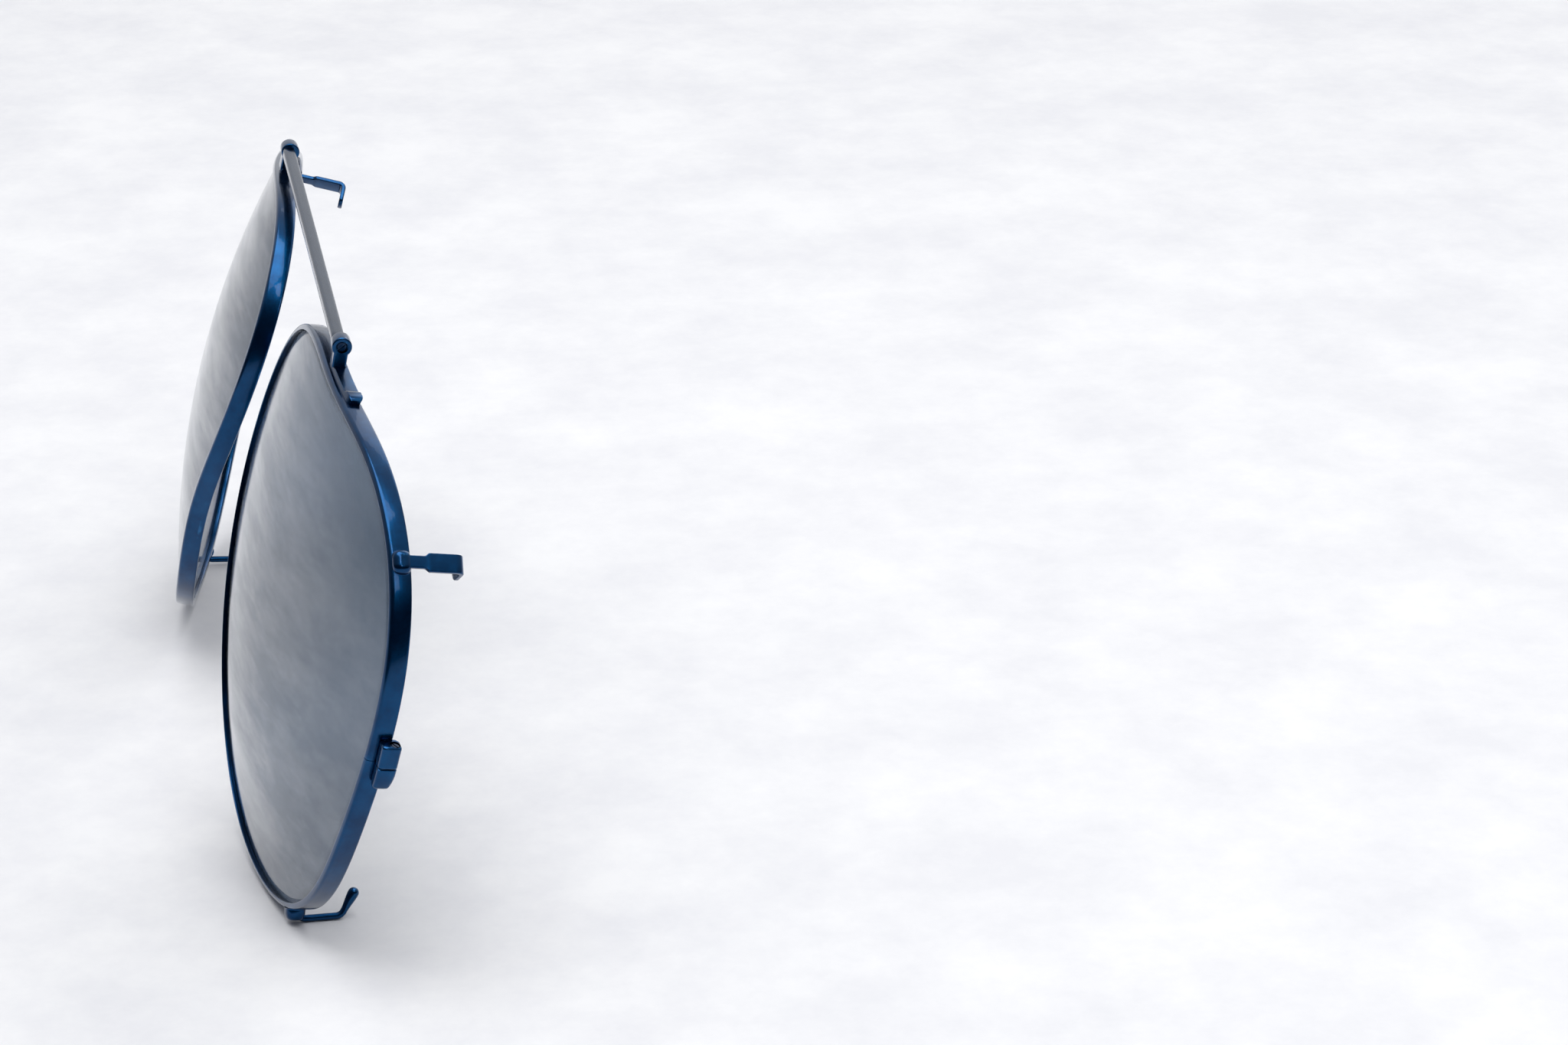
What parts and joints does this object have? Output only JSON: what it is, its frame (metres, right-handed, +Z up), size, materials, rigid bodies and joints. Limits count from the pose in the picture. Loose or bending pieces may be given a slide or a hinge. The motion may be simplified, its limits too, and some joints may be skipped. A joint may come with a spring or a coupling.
{
  "type": "clip-on flip lenses",
  "caption": "Tinted aviator clip-on with a thin blue metal frame: each lens flips up on a straight brow bar, and hooks behind each rim grip a pair of spectacles.",
  "frame": {"origin": "middle of the bounding box in plan, at the level of the table that the clip-on stands on", "axes": "+X towards the wearer's left temple, along the brow bar; +Y backwards, to the side of the hooks; +Z up, with the left lens leaning back 11.1 degrees, as it does when the clip-on stands on its lower hooks, and the right lens swung a further 3.2 degrees forward on its hinge, as in the picture"},
  "size_m": [0.1228, 0.023, 0.0539],
  "materials": {
    "metal": "gloss",
    "screw_metal": "satin",
    "smoke_lens": "polished"
  },
  "bodies": {
    "bar_body": {"brow_bar": "metal", "left_hinge_screw": "screw_metal", "right_hinge_screw": "screw_metal"},
    "left_lens_body": {"left_hinge_leaf": "metal", "left_rim": "metal", "left_lens": "smoke_lens", "left_closing_block_upper": "metal", "left_closing_block_lower": "metal", "left_closing_screw": "screw_metal", "left_upper_hook_root": "metal", "left_upper_hook_tab": "metal", "left_lower_hook_root": "metal", "left_lower_hook_wire": "metal"},
    "right_lens_body": {"right_hinge_leaf": "metal", "right_rim": "metal", "right_lens": "smoke_lens", "right_closing_block_upper": "metal", "right_closing_block_lower": "metal", "right_closing_screw": "screw_metal", "right_upper_hook_root": "metal", "right_upper_hook_tab": "metal", "right_lower_hook_root": "metal", "right_lower_hook_wire": "metal"}
  },
  "joints": [
    {"name": "left_flip", "type": "hinge", "parent": "bar_body", "child": "left_lens_body", "pos_m": [0.02969, 0.00317, 0.05289], "axis": [-1, 0, 0], "range_deg": [0, 90]},
    {"name": "right_flip", "type": "hinge", "parent": "bar_body", "child": "right_lens_body", "pos_m": [-0.02969, 0.00317, 0.05289], "axis": [-1, 0, 0], "range_deg": [-3.2, 86.8]}
  ]
}
